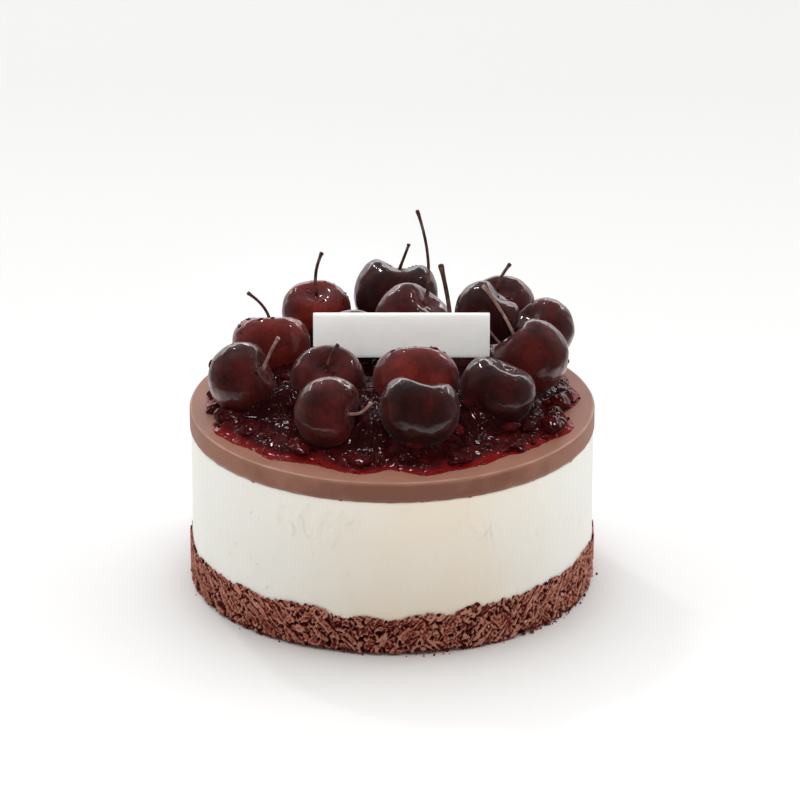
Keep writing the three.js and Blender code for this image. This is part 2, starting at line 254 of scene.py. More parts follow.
area_lamp("glint_lamp", "DISK", (0.08,), 1.6, (-0.4, 0.75, 1.0))
area_lamp("small_glint_lamp", "DISK", (0.045,), 0.5, (0.75, 0.35, 0.9))
jelly_lamps = [
    area_lamp("jelly_lamp", "RECTANGLE", (0.4, 0.08), 5.5, (-0.1, 0.25, 1.2)),
    area_lamp("jelly_front_lamp", "RECTANGLE", (0.5, 0.05), 4, (-0.25, -1.1, 0.75))]
wet_things = bpy.data.collections.new("wet_things")
for lamp in jelly_lamps:
    lamp.data.diffuse_factor = 0
    lamp.light_linking.receiver_collection = wet_things

plaque_light = bpy.data.lights.new("plaque_lamp", "SPOT")
plaque_light.energy = 100
plaque_light.color = (0.93, 0.97, 1.0)
plaque_light.spot_size = math.radians(3.3)
plaque_light.spot_blend = 0.8
plaque_light.shadow_soft_size = 0.06
aimed("plaque_lamp", plaque_light, (0.1, -1.3, 0.85), (0.003, 0, 0.081), False)

# %% [markdown]
# The floor is a plain pale plane, a hair below the cake so that the two don't flicker, and painted a
# little darker towards the back as painted shade. It is hidden from reflections, because the room
# already holds a table for the wet things to mirror.

# %% The floor
FLOOR_HALF = 6
FLOOR_DROP = 0.05 * MM


def new_piece(name, form):
    """An object at the origin from a bmesh, smooth shaded."""
    for face in form.faces:
        face.smooth = True
    mesh = bpy.data.meshes.new(name)
    form.to_mesh(mesh)
    form.free()
    piece = bpy.data.objects.new(name, mesh)
    scene.collection.objects.link(piece)
    return piece


def floor_finish():
    """A pale matt table top with painted shade that darkens it towards the back."""
    material, tree, shader = new_finish("pale_floor", {"Roughness": 0.6, "Specular IOR Level": 0.2})
    place = add_node(tree, "ShaderNodeTexCoord").outputs["Object"]
    to_back = add_node(tree, "ShaderNodeSeparateXYZ", {0: place}).outputs["Y"]
    # Painted shade: the floor's colour darkens towards the back.
    painted_back_shade = weighted(tree, to_back, 1.0, weighted(tree, object_noise(tree, 300), 0.04, 0.3))
    paint(tree, shader, painted_back_shade, [(0.1, "f0f0ef"), (0.8, "d6d6d5")])
    return material


floor_form = bmesh.new()
bmesh.ops.create_grid(floor_form, x_segments=2, y_segments=2, size=FLOOR_HALF)
bmesh.ops.translate(floor_form, verts=floor_form.verts, vec=(0, 0, -FLOOR_DROP))
floor = new_piece("floor", floor_form)
floor.data.materials.append(floor_finish())
floor.visible_glossy = False
print("floor", floor.dimensions[:2])

# %% [markdown]
# Most of the cake is turned: base, cream, chocolate and the pool of compote are all a profile swept
# round the upright axis. A spin would do it, but a flat grid rolled up into a ring is quicker for many
# thousand faces, and its rows and columns stay at hand: a rule can then move every point, which gives
# crags, creases and lumps as real shape. The seam and the two poles are merged at the end, so the piece
# is closed.

# %% Helpers for turned pieces
def turned(profile, columns):
    """The places of a turned sheet in millimetres: rows along the profile, columns round the axis.
    Each point of the profile has a radius, a height and the spacing up to the next point."""
    line = [profile[0][:2]]
    for (r0, z0, spacing), (r1, z1, _) in zip(profile, profile[1:]):
        steps = max(1, round(math.hypot(r1 - r0, z1 - z0) / spacing))
        line += [(r0 + (r1 - r0) * k / steps, z0 + (z1 - z0) * k / steps) for k in range(1, steps + 1)]
    radius, height = np.array(line).T[:, :, None]
    turn = np.arange(columns) / columns * math.tau
    return np.stack((radius * np.sin(turn), -radius * np.cos(turn), height + 0 * turn), axis=-1)


def rolled(name, places, **values):
    """A closed piece: a flat grid with its points set to these places, and numbers kept on its points."""
    rows, columns = places.shape[:2]
    form = bmesh.new()
    bmesh.ops.create_grid(form, x_segments=columns, y_segments=rows - 1, size=0.5)
    layers = {key: form.verts.layers.float.new(key) for key in values}
    for vert in form.verts:
        row = round((vert.co.y + 0.5) * (rows - 1))
        column = round((vert.co.x + 0.5) * columns) % columns
        vert.co = places[row, column] * MM
        for key, layer in layers.items():
            vert[layer] = values[key][row, column]
    bmesh.ops.remove_doubles(form, verts=form.verts, dist=1e-7)
    bmesh.ops.recalc_face_normals(form, faces=form.faces)
    return new_piece(name, form)


print("a small sheet has the shape", turned([(0, 0, 1), (3, 0, 1)], 8).shape)

# %% [markdown]
# The rules that move points work on arrays: soft noise gives waves of any size, a smooth step marks
# where something begins, and a blur tells a hollow from a crest. Angles start at the front and grow to
# the right.

# %% Helpers for rules
def soft_noise(points, size, seed):
    """Smooth noise from about -1 to 1 at each point, with bumps of about this size in millimetres."""
    shifted = points / size + (seed * 7.13, seed * 3.31, seed * 5.77)
    values = [noise.noise(p) for p in shifted.reshape(-1, 3).tolist()]
    return np.array(values).reshape(points.shape[:-1])


def ease(value):
    """A smooth step from 0 to 1."""
    t = np.clip(value, 0, 1)
    return t * t * (3 - 2 * t)


def blurred(grid, times):
    """A turned sheet's values, softened by their neighbours again and again."""
    for _ in range(times):
        above = np.vstack((grid[1:], grid[-1:]))
        below = np.vstack((grid[:1], grid[:-1]))
        grid = (2 * grid + np.roll(grid, 1, 1) + np.roll(grid, -1, 1) + above + below) / 6
    return grid


def turn_of(places):
    """The angle of each place about Z, from the front towards the right."""
    return np.arctan2(places[..., 0], -places[..., 1])


def angle_of(places):
    """The same angle in degrees."""
    return np.degrees(turn_of(places))


def reach_of(places):
    """How far each place lies from the upright axis."""
    return np.hypot(places[..., 0], places[..., 1])


def points_of(mesh):
    """The mesh's points in millimetres, one row each."""
    flat = np.empty(len(mesh.vertices) * 3)
    mesh.vertices.foreach_get("co", flat)
    return flat.reshape(-1, 3) / MM


def dress(piece, finish, slot, *solids):
    """Gives a piece its finish and its place on the cake's one body."""
    piece.data.materials.append(finish)
    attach(piece, "root")
    if solids:
        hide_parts(*solids)
    print(piece.name, "points:", len(piece.data.vertices))


print("shape helpers ready")

# %% [markdown]
# The base is pressed biscuit crumb. Its side is a heap of long flakes that lie every way, with dark gaps
# between them. Each layer of flakes is cell noise: a cell is one flake, with a height and a tilt of its
# own, a gap all round and a small lip beside the gap. The cells are stretched along a helix, so a layer
# leans one way, and the highest of three layers shows, as it does in a real heap. The noise gets a seed,
# because Blender otherwise starts it from the clock and every run would break the biscuit anew.

# %% The flakes of the base
CAKE_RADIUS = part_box("chocolate_disc")[1].x / MM
FLAKE_TILT = 0.9
GAP_WIDTH = 0.2
GAP_DEPTH = 0.95
LIP_PLACE = 0.22
LIP_WIDTH = 0.09
LIP_HEIGHT = 0.22
# Each layer has its lean, its stretch, its flake size in millimetres and its seed
FLAKE_LAYERS = [(0.9, 2.7, 3.1, 3.1), (-0.8, 2.5, 3.3, 7.7), (0.2, 1.0, 2.9, 12.3)]
noise.seed_set(3)


def flake_layer(places, lean, stretch, size, seed):
    """How far out each place lies in one layer of flakes: below 0 in a gap, about 1 on a crest."""
    turn = turn_of(places) + lean * places[..., 2] / CAKE_RADIUS
    helix = np.stack((np.sin(turn), -np.cos(turn), places[..., 2] / stretch / CAKE_RADIUS), axis=-1)
    found = []
    for p in (helix * CAKE_RADIUS / size + seed).reshape(-1, 3).tolist():
        place = Vector(p) + 0.35 * noise.noise_vector(Vector(p) * 1.1)
        place += 0.14 * noise.noise_vector(Vector(p) * 3.1)
        distances, cells = noise.voronoi(place)
        level = 0.58 + 1.0 * noise.noise(cells[0] * 3.7)
        slope = FLAKE_TILT * (place - cells[0]).dot(noise.noise_vector(cells[0] * 2.3))
        edge = distances[1] - distances[0]
        gap = max(0.0, 1 - edge / GAP_WIDTH)
        lip = math.exp(-(((edge - LIP_PLACE) / LIP_WIDTH) ** 2))
        found.append(level + slope - GAP_DEPTH * gap * gap + LIP_HEIGHT * lip)
    return np.array(found).reshape(places.shape[:-1])


def heap_of_flakes(places):
    """The highest of all layers at each place. From the front, flakes that lean outwards lie on top."""
    to_right = np.sin(turn_of(places))
    layers = []
    for lean, stretch, size, seed in FLAKE_LAYERS:
        leaning = np.sign(lean) * (abs(lean) > 0.5)
        layers.append(flake_layer(places, lean, stretch, size, seed) - (0.2 + 0.25 * to_right * leaning))
    return np.max(layers, axis=0)


print("flake layers:", len(FLAKE_LAYERS))

# %% [markdown]
# Where the crumb meets the cream it climbs and falls. The solid of the cream already has that seam, so
# its points give the crest, and flakes along the rim break it into jags.

# %% The upper edge of the base
BASE_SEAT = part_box("cream_layer")[0].z / MM
CREAM_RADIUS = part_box("cream_layer")[1].x / MM
BASE_COLUMNS = 1500
SEAM_GAP = 0.3
SEAM_BAND = 5.5
RIM_ROW = -3
seam_points = points_of(nodes["cream_layer"].data)
on_seam = (reach_of(seam_points) > CREAM_RADIUS - 0.5) & (seam_points[:, 2] < BASE_SEAT + SEAM_BAND)
seam_points = seam_points[on_seam]
seam_points = seam_points[np.argsort(angle_of(seam_points))]
base_places = turned([
    (0, 0, 40), (CAKE_RADIUS - 1.3, 0, 0.35), (CAKE_RADIUS, 0.8, 0.3), (CAKE_RADIUS, BASE_SEAT, 0.34),
    (CAKE_RADIUS - 2, BASE_SEAT, 30), (0, BASE_SEAT, 1)], BASE_COLUMNS)
rim_places = base_places[[RIM_ROW]] * (1, 1, 0) + (0, 0, BASE_SEAT)
crest = np.interp(angle_of(rim_places[0]), angle_of(seam_points), seam_points[:, 2] - SEAM_GAP, period=360)
jags = 1.2 * heap_of_flakes(rim_places) - 0.8 + 0.4 * soft_noise(rim_places, 0.9, 4)
edge_line = crest + jags[0]
print("crest from", round(crest.min(), 1), "to", round(crest.max(), 1), "mm")

# %% [markdown]
# The sheet is stretched up to that edge, and its wall is pushed in or out by the heap of flakes. Here
# and there a crumb has fallen out and left a hole, deeper on the right. Near the upper edge the wall
# lies flush with the cream. How deep each point lies among its neighbours is kept for the finish as
# painted shade, darker in gaps and holes, with a painted highlight on crests, and the foot gets more
# painted shade.

# %% The side of the base
HOLES_AT = 65
base_reach = reach_of(base_places)
outer = ease((base_reach - CAKE_RADIUS + 2) / 1.6)
base_places[..., 2] *= 1 + outer * (edge_line / BASE_SEAT - 1)
below_edge = edge_line - base_places[..., 2]
base_rows = np.nonzero(base_reach[:, 0] > CAKE_RADIUS - 1.5)[0]
base_side = base_places[base_rows]
heap = heap_of_flakes(base_side)
heap += 0.14 * soft_noise(base_side, 0.9, 5) + 0.07 * soft_noise(base_side, 0.45, 6)
hole_depth = 1.0 + 0.6 * np.cos(np.radians(angle_of(base_side) - HOLES_AT))
holes = hole_depth * ease((soft_noise(base_side, 1.6, 8) - 0.34) / 0.12)
heap += 0.4 * soft_noise(base_side, 6, 9) - holes
inward = np.clip(1.0 - 1.35 * heap, -0.5, 1.9)
flush = ease((2.6 - below_edge[base_rows]) / 1.3)
inward = inward * (1 - flush) + np.clip(0.3 * inward - 0.45, -0.5, -0.02) * flush
base_places[base_rows, :, :2] *= (1 - inward / base_reach[base_rows])[..., None]
# Painted shade: darker where a point lies deep among its neighbours and near the foot; painted highlight on
# crests.
hollow = np.zeros(base_reach.shape)
hollow[base_rows] = 0.5 - 0.28 * heap + 1.6 * (blurred(heap, 9) - heap)
hollow = np.clip(hollow + 0.5 * ease((1.7 - base_places[..., 2]) / 1.3), 0, 1)
base = rolled("crumb_base_piece", base_places, hollow=hollow)
print("flakes from", round(-inward.max(), 1), "to", round(-inward.min(), 1), "mm")

# %% [markdown]
# Biscuit crumb is matt. Its colour runs from a dusty milk-chocolate brown on the crests to a deep red-
# brown in the gaps and at the foot. That is painted shade in the gaps and at the foot and a painted
# highlight on the crests, read from how far in each point lies, which the shape left on the mesh.

# %% Finish of the crumb
def crumb_finish():
    """Matt biscuit crumb with a fine grain, painted shade in its gaps and at its foot, and a painted
    highlight on its crests.
    """
    material, tree, shader = new_finish("biscuit_crumb", {"Roughness": 0.85, "Specular IOR Level": 0.2})
    grain = object_noise(tree, 0.8, 6)
    shade_light_and_grain = weighted(tree, grain, 0.45, weighted(tree, point_value(tree, "hollow"), 1.0, -0.18))
    paint(tree, shader, shade_light_and_grain, [(0.06, "c08977"), (0.26, "9c5947"), (0.45, "6a211e"), (0.75, "320a0a")])
    relief(tree, shader, grain, 0.3, 0.8)
    return material


crumb = crumb_finish()
dress(base, crumb, "crumb", "crumb_base")

# %% [markdown]
# The cream is set cream cheese, cut clean by its ring: nearly smooth, with faint upright streaks, tiny
# pits and a few folds where the film round it was creased. Noise would scatter such folds anywhere, so
# they follow a few short paths, drawn on the unrolled wall and shaken until they look crumpled.

# %% The folds of the cream
FOLD_WIDTH = 0.45
# Each path has the angle in degrees and the height in millimetres of its points
FOLDS = [
    [(-24, 49.5), (-26.5, 44.5), (-25.5, 42), (-25, 39)], [(-25, 39), (-21.5, 42.5), (-19.5, 45.5)],
    [(-32.5, 47.5), (-33.5, 44.5), (-33.5, 40.5)], [(-29.5, 44.5), (-29, 38)],
    [(-10, 48), (-12.5, 44.5), (-15, 41), (-17.5, 35)], [(-11.5, 45.5), (-15, 42.5), (-18, 41.5)],
    [(-14, 49), (-17.5, 45), (-20, 39.5), (-21, 37.5)], [(-18, 47.5), (-21, 44.5)],
    [(21.5, 44), (24, 39.5), (26, 39)], [(19, 44.5), (20.5, 43)], [(29, 41.5), (27.5, 38), (28, 34)]]


def folded(flat):
    """How far the folds stand out at each place of the unrolled wall, 1 on their crests."""
    total = np.zeros(flat.shape[:-1])
    for path in FOLDS:
        line = [np.array((math.radians(turn) * CREAM_RADIUS, level)) for turn, level in path]
        nearest = np.full(total.shape, 99.0)
        for start, end in zip(line, line[1:]):
            along = end - start
            share = np.clip((flat - start) @ along / (along @ along), 0, 1)
            nearest = np.minimum(nearest, np.linalg.norm(flat - start - share[..., None] * along, axis=-1))
        total += np.exp(-((nearest / FOLD_WIDTH) ** 2))
    return total


def shaken(flat, side, size, seed, far):
    """Places on the unrolled wall, moved about by soft noise, up to this far."""
    return flat + np.stack((soft_noise(side, size, seed), soft_noise(side, size, seed + 1)), axis=-1) * far


print("folds:", len(FOLDS))

# %% [markdown]
# The cream's wall is split into small squares, so the folds, the pits and the streaks are real shape,
# though so shallow that they only show in grazing light. Its foot reaches down behind the jags of the
# crumb, which closes the seam.

# %% The cream layer
CREAM_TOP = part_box("cream_layer")[1].z / MM
CREAM_COLUMNS = 1100
WARM_SHADE_AT = 10
cream_places = turned([
    (0, BASE_SEAT, 40), (CREAM_RADIUS - 4, BASE_SEAT, 4), (CREAM_RADIUS - 0.8, BASE_SEAT, 1),
    (CREAM_RADIUS, BASE_SEAT + 0.5, 0.52), (CREAM_RADIUS, CREAM_TOP, 40), (0, CREAM_TOP, 1)], CREAM_COLUMNS)
cream_reach = reach_of(cream_places)
low_edge = np.min([np.roll(edge_line, shift) for shift in range(-4, 5)], axis=0) - 0.7
base_angles = np.arange(BASE_COLUMNS) / BASE_COLUMNS * 360
low_edge = np.interp(angle_of(cream_places), base_angles, low_edge, period=360)
down = (CREAM_TOP - cream_places[..., 2]) / (CREAM_TOP - BASE_SEAT) * (cream_reach > CREAM_RADIUS - 2)
cream_places[..., 2] += (low_edge - BASE_SEAT) * down

cream_rows = np.nonzero(cream_reach[:, 0] > CREAM_RADIUS - 0.5)[0]
cream_side = cream_places[cream_rows]
flat_side = np.stack((np.radians(angle_of(cream_side)) * CREAM_RADIUS, cream_side[..., 2]), axis=-1)
bent = shaken(flat_side, cream_side, 2.4, 14, 0.9)
crumpled = shaken(flat_side, cream_side, 3.4, 18, 2.6) - (1.5, -1.5)
folds = folded(bent) - 0.6 * folded(bent - (0.8, -0.3)) + 0.6 * folded(crumpled)
folds *= np.clip(0.6 + 0.9 * soft_noise(cream_side, 3.5, 13), 0, 1.2)
pits = ease((soft_noise(cream_side, 1.0, 16) - 0.66) / 0.05)
bulge = 0.16 * soft_noise(cream_side * (1, 1, 0.5), 16, 12)
bulge += 0.04 * soft_noise(cream_side * (1, 1, 0.12), 2.2, 11)
bulge += 0.5 * folds - 0.3 * pits + 0.12 * ease((BASE_SEAT + 7 - cream_side[..., 2]) / 5)
cream_places[cream_rows, :, :2] *= (1 + (bulge - 0.15) / CREAM_RADIUS)[..., None]
# Painted shade: the front of the cream is painted warmer and a little darker, as the dim warm light there
# would make it.
warm = np.exp(-(((angle_of(cream_places) - WARM_SHADE_AT) / 28) ** 2))
warm *= 1 + 0.5 * soft_noise(cream_places, 22, 17)
cream_piece = rolled("cream_piece", cream_places, warm=warm)
print("cream's wall from", round(bulge.min(), 2), "to", round(bulge.max(), 2), "mm")

# %% [markdown]
# Cream lets a little light in, which softens its shadows: that is the subsurface part of the shader. Its
# ivory is painted a touch warmer and darker at the front, as painted shade from the dim warm light there.

# %% Finish of the cream
def cream_finish():
    """Ivory set cream, soft to light, with faint smears and painted warm shade at the front."""
    material, tree, shader = new_finish("set_cream", {
        "Roughness": 0.5, "Specular IOR Level": 0.35, "Subsurface Weight": 0.2, "Subsurface Scale": 2 * MM,
        "Subsurface Radius": (1.0, 0.75, 0.5)})
    smear = object_noise(tree, 10, 4, (1, 1, 1.8))
    warmth = weighted(tree, smear, 0.35, weighted(tree, point_value(tree, "warm"), 0.6, -0.1))
    paint(tree, shader, warmth, [(0.05, "f4f4ee"), (0.7, "f4e9d9")])
    relief(tree, shader, object_noise(tree, 1.6, 3, (1, 1, 2.5)), 0.12, 0.3)
    relief(tree, shader, object_noise(tree, 0.8, 3), 0.1, 0.45)
    return material


dress(cream_piece, cream_finish(), "cream", "cream_layer")

# %% [markdown]
# The chocolate is one poured disc with a narrow rounded corner, which is painted a little paler than the
# rest as a painted highlight, so a thin light line runs round the top. A slow wobble of the lower edge,
# with a few small drips, keeps the seam with the cream from looking machined. The front of the side is
# painted a shade darker than the top, as painted shade.

# %% The chocolate disc
CHOCOLATE_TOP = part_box("chocolate_disc")[1].z / MM
DISC_COLUMNS = 600
CORNER = 0.55
SHADE_AT = 6
round_corner = [
    (CAKE_RADIUS - CORNER * (1 - math.cos(turn)), CHOCOLATE_TOP - CORNER * (1 - math.sin(turn)), 1)
    for turn in np.radians([0, 22, 45, 68, 90])]
disc_places = turned([
    (0, CREAM_TOP, 40), (CAKE_RADIUS - 0.6, CREAM_TOP, 0.3), (CAKE_RADIUS, CREAM_TOP + 0.5, 0.7),
    *round_corner[:-1], (*round_corner[-1][:2], 0.5), (CAKE_RADIUS - 3, CHOCOLATE_TOP, 1.5),
    (CAKE_RADIUS - 15, CHOCOLATE_TOP, 20), (0, CHOCOLATE_TOP, 1)], DISC_COLUMNS)
disc_reach = reach_of(disc_places)
lower_edge = (disc_places[..., 2] < CREAM_TOP + 1.2) & (disc_reach > CAKE_RADIUS - 1)
below = disc_places[lower_edge] * (1, 1, 0)
disc_places[lower_edge, 2] += 0.34 * soft_noise(below, 3.5, 21) - 0.12
disc_places[lower_edge, 2] -= 0.5 * ease((soft_noise(below, 2.0, 25) - 0.5) / 0.12)
# Painted highlight along the corner, then painted shade on the front of the side below it.
off_corner = np.hypot(disc_reach - CAKE_RADIUS + 0.35, disc_places[..., 2] - CHOCOLATE_TOP + 0.15)
painted_light_and_shade = ease(1 - off_corner / 0.6) * (0.75 + 0.5 * soft_noise(disc_places, 6, 24))
shade = np.exp(-(((angle_of(disc_places) - SHADE_AT) / 42) ** 2))
painted_light_and_shade -= 0.55 * shade * ease((CHOCOLATE_TOP - 0.5 - disc_places[..., 2]) / 0.3)
disc_places[..., 2] += 0.06 * soft_noise(disc_places * (1, 1, 0), 12, 23) * (disc_reach > CAKE_RADIUS - 4)
wobble = 0.0014 * soft_noise(disc_places * (1, 1, 0.3), 14, 22) * (disc_reach > CAKE_RADIUS - 3)
disc_places[..., :2] *= (1 + wobble)[..., None]
disc = rolled("chocolate_piece", disc_places, rim=painted_light_and_shade)


def chocolate_finish():
    """Milk chocolate with a satin face, a painted highlight on its corner and painted shade on the front of
    its side.
    """
    material, tree, shader = new_finish("milk_chocolate", {"Roughness": 0.45, "Specular IOR Level": 0.25})
    painted_light_term = weighted(tree, point_value(tree, "rim"), 0.55, 0)
    tone_light_and_shade = weighted(tree, object_noise(tree, 9, 4), 0.5, painted_light_term)
    paint(tree, shader, tone_light_and_shade, [(0.0, "7a4f40"), (0.16, "926553"), (0.35, "986a58"), (0.85, "b48e81")])
    relief(tree, shader, object_noise(tree, 5, 3), 0.2, 0.25)
    relief(tree, shader, object_noise(tree, 0.6, 3), 0.05, 0.3)
    return material


dress(disc, chocolate_finish(), "chocolate", "chocolate_disc")

# %% [markdown]
# The compote is a pool of dark cherry jelly full of chopped fruit. Its outline comes from the foot of
# the solid, made a little ragged. Inside it lies a round grid, from the middle to the edge.

# %% The compote's outline
GEL_ROWS = 124
GEL_COLUMNS = 700
gel_solid = nodes["cherry_compote"]
gel_foot = points_of(gel_solid.data)
gel_foot = gel_foot[(gel_foot[:, 2] < CHOCOLATE_TOP + 0.05) & (reach_of(gel_foot) > 50)]
gel_foot = gel_foot[np.argsort(angle_of(gel_foot))]
gel_angles = np.arange(GEL_COLUMNS) / GEL_COLUMNS * 360
gel_reach = np.interp(gel_angles, angle_of(gel_foot), reach_of(gel_foot), period=360)
gel_reach = blurred(gel_reach[None, :], 12)[0]
gel_turns = np.radians(gel_angles)
heading = np.stack((np.sin(gel_turns), -np.cos(gel_turns), 0 * gel_turns), axis=-1)
gel_rim = heading * gel_reach[:, None]
gel_reach += 0.6 * soft_noise(gel_rim, 3.2, 31) + 0.35 * soft_noise(gel_rim, 1.3, 32)
row_shares = np.arange(GEL_ROWS + 1)[:, None] / GEL_ROWS
to_edge = gel_reach * (1 - row_shares)
gel_grid = heading[None] * (gel_reach * row_shares)[..., None]
print("compote reaches", round(gel_reach.min(), 1), "to", round(gel_reach.max(), 1), "mm")

# %% [markdown]
# The height comes from the solid too: a ray from above reads it at every fifth column of the grid. A
# blur that leaves what is known fills the rest, also the hollows that the solid has under its cherries.

# %% The compote's ground
ABOVE = 120 * MM
EVERY = 5
ground = np.full(to_edge.shape, np.nan)
for row in range(GEL_ROWS + 1):
    for column in range(0, GEL_COLUMNS, EVERY):
        start = Vector(gel_grid[row, column]) * 0.995 * MM + Vector((0, 0, ABOVE))
        hit, struck, normal, _ = gel_solid.ray_cast(start, (0, 0, -1))
        if hit and normal.z > 0.3 and struck.z > (CHOCOLATE_TOP + 0.4) * MM:
            ground[row, column] = struck.z / MM - CHOCOLATE_TOP
known = ~np.isnan(ground)
filled = np.where(known, ground, np.nanmean(ground))
for _ in range(300):
    filled = np.where(known, ground, blurred(filled, 1))
filled = blurred(filled, 24)
print("compote height to", round(filled.max(), 1), "mm")

# %% [markdown]
# On that ground lie the folds of the jelly. Ridges come from noise folded at zero, which makes sharp
# crests that catch the light as thin lines. The edge stays a thin, clear syrup, wider in some places
# than in others.

# %% The jelly's folds
def crests(size, seed, power):
    """Sharp crests on the jelly, where a soft noise crosses zero."""
    return (1 - np.abs(soft_noise(gel_grid, size, seed))) ** power


syrup = 1.3 + 2.2 * soft_noise(gel_rim, 9, 48)
inner = ease((to_edge - syrup) / 2.4)
height = 0.12 + 0.4 * ease(to_edge / 2.5) + (filled - 1.2) * inner
ridges = crests(6.5, 43, 14) + 0.6 * crests(3.4, 44, 12)
height += inner * (0.6 * ridges + 0.04 * soft_noise(gel_grid, 1.2, 45))
height += 0.5 * inner * soft_noise(gel_grid, 5, 49)
print("jelly with folds up to", round(height.max(), 1), "mm")

# %% [markdown]
# The jelly clings to the side of each cherry, with ripples round it, and rises between cherries that
# stand close. Each cherry is taken as a ball as large as its solid's box, which is near enough for a
# rule.

# %% The jelly round the cherries
CLING = 3
RIPPLE = 2.4
RISE = 5.5


def cherry_number(name):
    """The number at the end of a cherry's name."""
    return int(name.split("_")[1])


cherry_names = [n for n in nodes if n.startswith("cherry_") and n != "cherry_compote"]
cherry_names.sort(key=cherry_number)
cherry_places = {}
for name in cherry_names:
    low_corner, high_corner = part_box(name)
    cherry_places[name] = ((low_corner + high_corner) / 2 / MM, sum(high_corner - low_corner) / 6 / MM)

drift = 1.5 * soft_noise(gel_grid, 6, 46)
near = np.zeros_like(to_edge)
for middle, half in cherry_places.values():
    away = np.hypot(gel_grid[..., 0] - middle.x, gel_grid[..., 1] - middle.y)
    under = middle.z - np.sqrt(np.clip(half**2 - away**2, 0, None)) - CHOCOLATE_TOP
    lift = under - height
    clings = (away < half) & (lift > 0) & (lift < CLING)
    height = np.where(clings, height + lift * ease(1 - lift / CLING), height)
    ring = away - math.sqrt(max(1.0, half**2 - (middle.z - CHOCOLATE_TOP - CLING) ** 2))
    outside = np.clip(ring, 0, None)
    ripple = (0.5 + 0.5 * np.cos(math.tau * ring / RIPPLE + drift)) ** 3 * np.exp(-outside / 3)
    height += np.where((ring > 0) & (ring < 7), 0.55 * inner * ripple, 0)
    if middle.z - half < CHOCOLATE_TOP + CLING:
        height += np.where(ring > -1.5, 1.5 * inner * np.exp(-outside / 0.8), 0)
        near += np.exp(-np.clip(away - half, 0, None) / 5)
deep = ease((to_edge - 7) / 7)
height += RISE * deep * ease((near - 0.7) / 0.5)
height = np.maximum(height, 0.1 + 0.3 * ease(to_edge / 1.5))
height[0] = height[0].mean()
print("jelly up to", round(height.max(), 1), "mm")

# %% [markdown]
# Deep jelly is nearly black and thin syrup is clear red, so the shape keeps on its points how thin it
# is, and the finish reads it. A clear coat makes the whole wet: its own relief of soft waves and fine
# strings breaks the reflections up without touching the colour below.

# %% The compote jelly
GEL_FOOT = CHOCOLATE_TOP - 0.3
redness = 1 - inner - 0.15 * deep + 0.25 * np.clip(soft_noise(gel_grid, 4, 47), 0, 1)
top_places = gel_grid + (height + CHOCOLATE_TOP)[..., None] * (0, 0, 1)
foot_places = np.stack((gel_grid[-1], gel_grid[0])) + (0, 0, GEL_FOOT)
gel = rolled(
    "compote_jelly", np.vstack((top_places, foot_places)), red=np.vstack((redness, redness[-2:])))


def compote_finish():
    """Dark cherry jelly: clear red where it is thin, nearly black where it is deep, wet all over."""
    material, tree, shader = new_finish("cherry_jelly", {
        "Roughness": 0.3, "Specular IOR Level": 0.0,
        "Coat Weight": 0.75, "Coat Roughness": 0.025, "Coat IOR": 1.36})
    clouds = object_noise(tree, 3.2, 4)
    thinness = weighted(tree, clouds, 0.5, weighted(tree, point_value(tree, "red"), 0.8, -0.12))
    paint(tree, shader, thinness, [(0.05, "1d0506"), (0.3, "37090a"), (0.6, "4c0c0d"), (0.95, "5c0f10")])
    relief(tree, shader, object_noise(tree, 2.6, 0), 0.3, 0.4, "Coat Normal")
    relief(tree, shader, strings(tree, 5.0, 0.05), 0.5, 1.0, "Coat Normal")
    return material


compote = compote_finish()
dress(gel, compote, "compote", "cherry_compote")
wet_things.objects.link(gel)

# %% [markdown]
# Chopped fruit, drops and crumbs are many small lumps. One mesh holds all lumps of a kind: a ball of
# triangles is copied, pinched by noise, stretched, turned and set in place for each of them.

# %% Helpers for many small lumps
def lumps(name, detail, specs, rough, **values):
    """One piece of many lumps. Each has a place and three half sizes in millimetres, and a turn."""
    ball = bmesh.new()
    bmesh.ops.create_icosphere(ball, subdivisions=detail, radius=1)
    points = np.array([v.co[:] for v in ball.verts])
    faces = np.array([[v.index for v in f.verts] for f in ball.faces])
    ball.free()
    all_points = []
    for k, (place, halves, turn) in enumerate(specs):
        pinch = 1 + rough * soft_noise(points, 0.8, k) + 0.5 * rough * soft_noise(points, 0.35, k + 0.5)
        all_points.append(points * pinch[:, None] * halves @ np.array(Euler(turn).to_matrix()).T + place)
    mesh = bpy.data.meshes.new(name)
    all_faces = np.concatenate([faces + k * len(points) for k in range(len(specs))])
    mesh.from_pydata(np.concatenate(all_points) * MM, [], all_faces.tolist())
    mesh.polygons.foreach_set("use_smooth", [True] * len(all_faces))
    for key, each in values.items():
        attribute = mesh.attributes.new(key, "FLOAT", "POINT")
        attribute.data.foreach_set("value", np.repeat(np.array(each, np.float32), len(points)))
    piece = bpy.data.objects.new(name, mesh)
    scene.collection.objects.link(piece)
    return piece


def any_turn(dice):
    """A turn in any direction."""
    return [dice.uniform(0, math.tau) for _ in range(3)]


def jelly_at(turn, inset):
    """A place on the jelly, from its angle in degrees and its distance from the edge."""
    column = round(turn / 360 * GEL_COLUMNS) % GEL_COLUMNS
    row = round((1 - inset / gel_reach[column]) * GEL_ROWS)
    return gel_grid[row, column] + (0, 0, CHOCOLATE_TOP + height[row, column])


print("front of the jelly at", [round(float(v), 1) for v in jelly_at(0, 2)])
